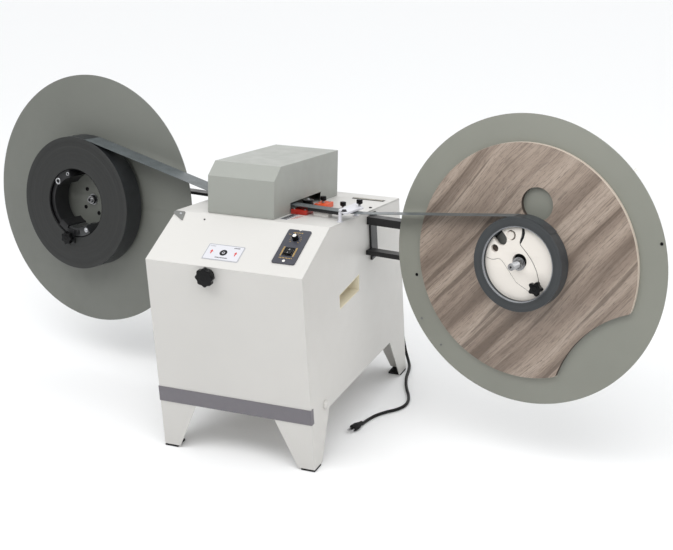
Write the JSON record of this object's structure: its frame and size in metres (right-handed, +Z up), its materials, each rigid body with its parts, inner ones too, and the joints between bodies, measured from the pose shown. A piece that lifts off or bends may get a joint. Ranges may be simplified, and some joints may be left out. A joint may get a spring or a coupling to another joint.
{
  "type": "edge banding machine",
  "caption": "Cabinet on legs with a hinged head cover, outfeed rail, pay-off reel with tape roll at the left and take-up reel with board at the right.",
  "frame": {"origin": "middle of the overall width and depth without the power cord, at floor level", "axes": "+Z up, +X to the operator's right along the cabinet front, -Y to the front with the hand knob"},
  "size_m": [2.3196, 0.811, 1.011],
  "materials": {
    "cabinet_white": "warm white powder coat, satin",
    "cover_grey": "mid grey powder coat, satin",
    "stripe_grey": "grey self-adhesive band",
    "disc_grey": "greenish grey enamel, semi-gloss",
    "housing_grey": "grey enamel",
    "arm_black": "black powder coat, satin",
    "knob_black": "black moulded plastic, half gloss",
    "panel_dark": "dark grey overlay with gold markings",
    "label_face": null,
    "base_red": "red enamel",
    "guide_orange": "orange-red enamel",
    "steel": "turned and ground steel",
    "motor_grey": "dark grey enamel",
    "alloy": "machined aluminium",
    "rubber_black": "black rubber and cable sheath",
    "tape_grey": "dark blue-grey edge band, satin",
    "board_wood": "grey-brown oak pattern with white edge",
    "hub_cream": "cream enamel",
    "tray_beige": "beige moulded tray"
  },
  "bodies": {
    "machine": {"wrap_panel": "cabinet_white", "left_side_panel": "cabinet_white", "right_side_panel": "cabinet_white", "rear_panel": "cabinet_white", "floor_pan": "cabinet_white", "foot_front_left": "rubber_black", "foot_front_right": "rubber_black", "foot_rear_left": "rubber_black", "foot_rear_right": "rubber_black", "front_stripe": "stripe_grey", "side_cap": "cabinet_white", "chute_tray": "tray_beige", "label_plate": "label_face", "control_plate": "panel_dark", "head_cheek_front": "alloy", "head_cheek_rear": "alloy", "drive_belt": "rubber_black", "motor_bracket": "steel", "drive_motor": "motor_grey", "outfeed_base": "base_red", "outfeed_rail": "arm_black", "hold_down_bridge": "alloy", "cover_hinge": "steel", "left_bearing_housing": "housing_grey", "right_bearing_housing": "housing_grey", "left_arm_frame": "arm_black", "right_arm_frame": "arm_black", "tape_web": "tape_grey", "power_cord": "rubber_black", "cord_gland": "knob_black", "cord_plug": "rubber_black"},
    "cover": {"head_cover": "cover_grey"},
    "left_reel": {"left_disc": "disc_grey", "left_shaft": "steel", "left_nut": "steel", "tape_roll": "tape_grey", "left_clamp_arm": "arm_black"},
    "left_jaw": {"left_jaw_block": "motor_grey"},
    "left_knob": {"left_star_knob": "knob_black"},
    "right_reel": {"right_disc": "disc_grey", "right_shaft": "steel", "wood_board": "board_wood", "takeup_ring": "tape_grey", "hub_plate": "hub_cream", "hub_nut": "steel"},
    "right_knob": {"right_star_knob": "knob_black"},
    "feed": {"feed_roller": "rubber_black", "feed_pulley": "alloy"},
    "pressure": {"pressure_roller": "rubber_black"},
    "motor_pulley": {"motor_pulley": "alloy"},
    "width_screw": {"front_star_knob": "knob_black", "width_spindle": "steel"},
    "knife_carriage": {"knife_carriage": "alloy"},
    "knife": {"slitting_knife": "steel"},
    "speed_knob": {"speed_knob": "knob_black"},
    "rocker": {"rocker_switch": "knob_black"},
    "guide": {"guide_block": "guide_orange"},
    "guide_knob": {"guide_knob": "knob_black"},
    "deck_knob": {"deck_knob": "knob_black"},
    "bridge_knob": {"bridge_knob": "knob_black"}
  },
  "joints": [
    {"name": "cover_open", "type": "hinge", "parent": "machine", "child": "cover", "pos_m": [-0.07576, 0.30699, 0.60507], "axis": [-1, 0, 0], "range_deg": [0, 80]},
    {"name": "left_reel_spin", "type": "hinge", "parent": "machine", "child": "left_reel", "pos_m": [-0.76398, 0.14031, 0.56541], "axis": [0.1392, 0.9752, -0.172], "continuous": true},
    {"name": "right_reel_spin", "type": "hinge", "parent": "machine", "child": "right_reel", "pos_m": [0.76301, -0.06843, 0.61745], "axis": [0.1392, 0.9752, -0.172], "continuous": true},
    {"name": "left_jaw_slide", "type": "slide", "parent": "left_reel", "child": "left_jaw", "axis": [-0.1378, 0.191, 0.9719], "range_m": [0, 0.005]},
    {"name": "left_knob_turn", "type": "hinge", "parent": "left_jaw", "child": "left_knob", "pos_m": [-0.79941, 0.02813, 0.47045], "axis": [0.1392, 0.9752, -0.172], "range_deg": [-180, 180]},
    {"name": "right_knob_turn", "type": "hinge", "parent": "right_reel", "child": "right_knob", "pos_m": [0.81522, -0.15084, 0.57613], "axis": [0.1392, 0.9752, -0.172], "range_deg": [-180, 180]},
    {"name": "feed_roller_spin", "type": "hinge", "parent": "machine", "child": "feed", "pos_m": [-0.1338, 0.0268, 0.66432], "axis": [0.1392, 0.9752, -0.172], "continuous": true},
    {"name": "pressure_roller_spin", "type": "hinge", "parent": "machine", "child": "pressure", "pos_m": [-0.1338, 0.03128, 0.68973], "axis": [0.1392, 0.9752, -0.172], "continuous": true},
    {"name": "motor_pulley_spin", "type": "hinge", "parent": "machine", "child": "motor_pulley", "pos_m": [-0.12489, 0.066, 0.52165], "axis": [0.1392, 0.9752, -0.172], "continuous": true},
    {"name": "width_knob_turn", "type": "hinge", "parent": "machine", "child": "width_screw", "pos_m": [-0.07776, -0.332, 0.578], "axis": [0, 1, 0], "range_deg": [-721, 721]},
    {"name": "knife_slide", "type": "slide", "parent": "machine", "child": "knife_carriage", "axis": [0, 1, 0], "range_m": [-0.008, 0.008]},
    {"name": "knife_spin", "type": "hinge", "parent": "knife_carriage", "child": "knife", "pos_m": [-0.07095, -0.00287, 0.65158], "axis": [0.1392, 0.9752, -0.172], "continuous": true},
    {"name": "speed_knob_turn", "type": "hinge", "parent": "machine", "child": "speed_knob", "pos_m": [0.13575, -0.20368, 0.6649], "axis": [0, -0.3822, 0.9241], "range_deg": [-135, 135]},
    {"name": "rocker_tilt", "type": "hinge", "parent": "machine", "child": "rocker", "pos_m": [0.13575, -0.24886, 0.64069], "axis": [1, 0, 0], "range_deg": [0, 9]},
    {"name": "guide_slide", "type": "slide", "parent": "machine", "child": "guide", "axis": [0, 0.9848, -0.1736], "range_m": [-0.01, 0.01]},
    {"name": "guide_knob_turn", "type": "hinge", "parent": "guide", "child": "guide_knob", "pos_m": [0.07724, 0.10972, 0.66219], "axis": [0, 0.1736, 0.9848], "range_deg": [-180, 180]},
    {"name": "deck_knob_turn", "type": "hinge", "parent": "machine", "child": "deck_knob", "pos_m": [0.13125, 0.12959, 0.64244], "axis": [0, 0.1736, 0.9848], "range_deg": [-180, 180]},
    {"name": "bridge_knob_turn", "type": "hinge", "parent": "machine", "child": "bridge_knob", "pos_m": [0.22925, 0.03388, 0.69283], "axis": [0, 0.1736, 0.9848], "range_deg": [-180, 180]}
  ],
  "couplings": [
    {"joint": "right_reel_spin", "follows": "left_reel_spin", "ratio": 1.6308},
    {"joint": "feed_roller_spin", "follows": "left_reel_spin", "ratio": 21.2},
    {"joint": "pressure_roller_spin", "follows": "left_reel_spin", "ratio": -15.143},
    {"joint": "motor_pulley_spin", "follows": "left_reel_spin", "ratio": 26.5},
    {"joint": "width_knob_turn", "follows": "knife_slide", "rad_per_m": 1570.8}
  ]
}
